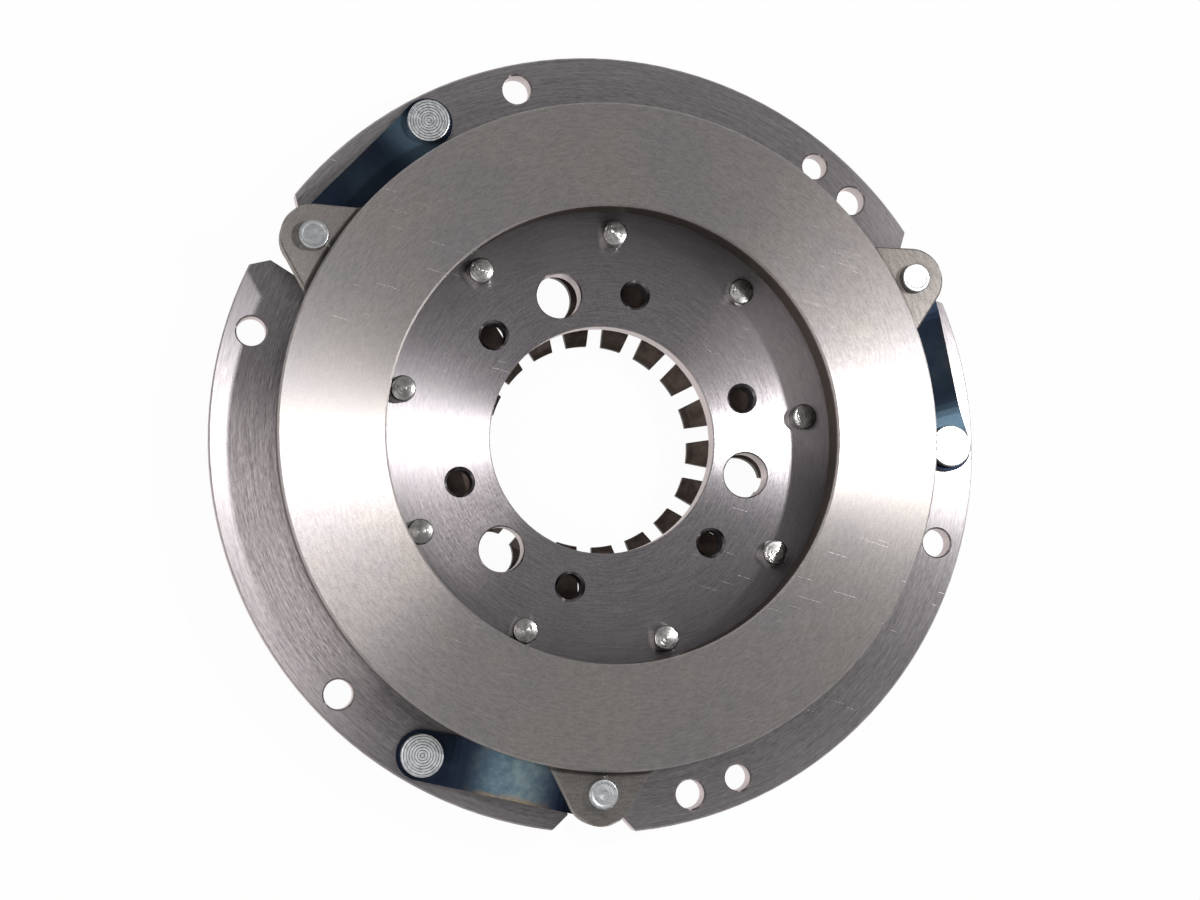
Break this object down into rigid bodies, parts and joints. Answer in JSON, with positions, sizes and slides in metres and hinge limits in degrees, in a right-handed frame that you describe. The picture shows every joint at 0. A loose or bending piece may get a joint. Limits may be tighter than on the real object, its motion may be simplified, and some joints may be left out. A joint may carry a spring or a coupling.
{
  "type": "clutch pressure plate",
  "caption": "Clutch pressure plate: a flat steel cover with a ground friction ring on blued drive straps and a slotted diaphragm spring behind it.",
  "frame": {"origin": "centre of the cover's front (flywheel) mounting face", "axes": "+Z along the clutch axis towards the flywheel, +X through one of the six bolt holes, 44.6 degrees before the notch of lug 1"},
  "size_m": [0.2422, 0.2422, 0.0465],
  "materials": {
    "ground_steel": "turned and fine ground steel",
    "ground_iron": "ground grey iron, cast on the back",
    "spring_steel": "tempered and phosphated spring steel",
    "blued_steel": "heat-blued spring steel strip",
    "rivet_steel": "plain steel, polished on the dome",
    "plated_rivet": "bright zinc plate",
    "wire_steel": "drawn wire"
  },
  "bodies": {
    "cover": {"cover_plate": "ground_steel", "diaphragm_spring": "spring_steel", "front_fulcrum_ring": "wire_steel", "rear_fulcrum_ring": "wire_steel", "fulcrum_rivet_1": "rivet_steel", "fulcrum_rivet_2": "rivet_steel", "fulcrum_rivet_3": "rivet_steel", "fulcrum_rivet_4": "rivet_steel", "fulcrum_rivet_5": "rivet_steel", "fulcrum_rivet_6": "rivet_steel", "fulcrum_rivet_7": "rivet_steel", "fulcrum_rivet_8": "rivet_steel", "fulcrum_rivet_9": "rivet_steel", "cover_strap_rivet_1": "plated_rivet", "cover_strap_rivet_2": "plated_rivet", "cover_strap_rivet_3": "plated_rivet", "strap_1_leaf_1": "blued_steel", "strap_1_leaf_2": "blued_steel", "strap_1_leaf_3": "blued_steel", "strap_2_leaf_1": "blued_steel", "strap_2_leaf_2": "blued_steel", "strap_2_leaf_3": "blued_steel", "strap_3_leaf_1": "blued_steel", "strap_3_leaf_2": "blued_steel", "strap_3_leaf_3": "blued_steel"},
    "plate": {"pressure_plate": "ground_iron", "lug_rivet_1": "plated_rivet", "lug_rivet_2": "plated_rivet", "lug_rivet_3": "plated_rivet"}
  },
  "joints": [
    {"name": "plate_slide", "type": "slide", "parent": "cover", "child": "plate", "axis": [0, 0, 1], "range_m": [-0.005, 0], "stiffness_N_per_m": 20000, "springref_m": 0.003, "deforming": ["strap_1_leaf_1", "strap_1_leaf_2", "strap_1_leaf_3", "strap_2_leaf_1", "strap_2_leaf_2", "strap_2_leaf_3", "strap_3_leaf_1", "strap_3_leaf_2", "strap_3_leaf_3", "diaphragm_spring"]}
  ]
}
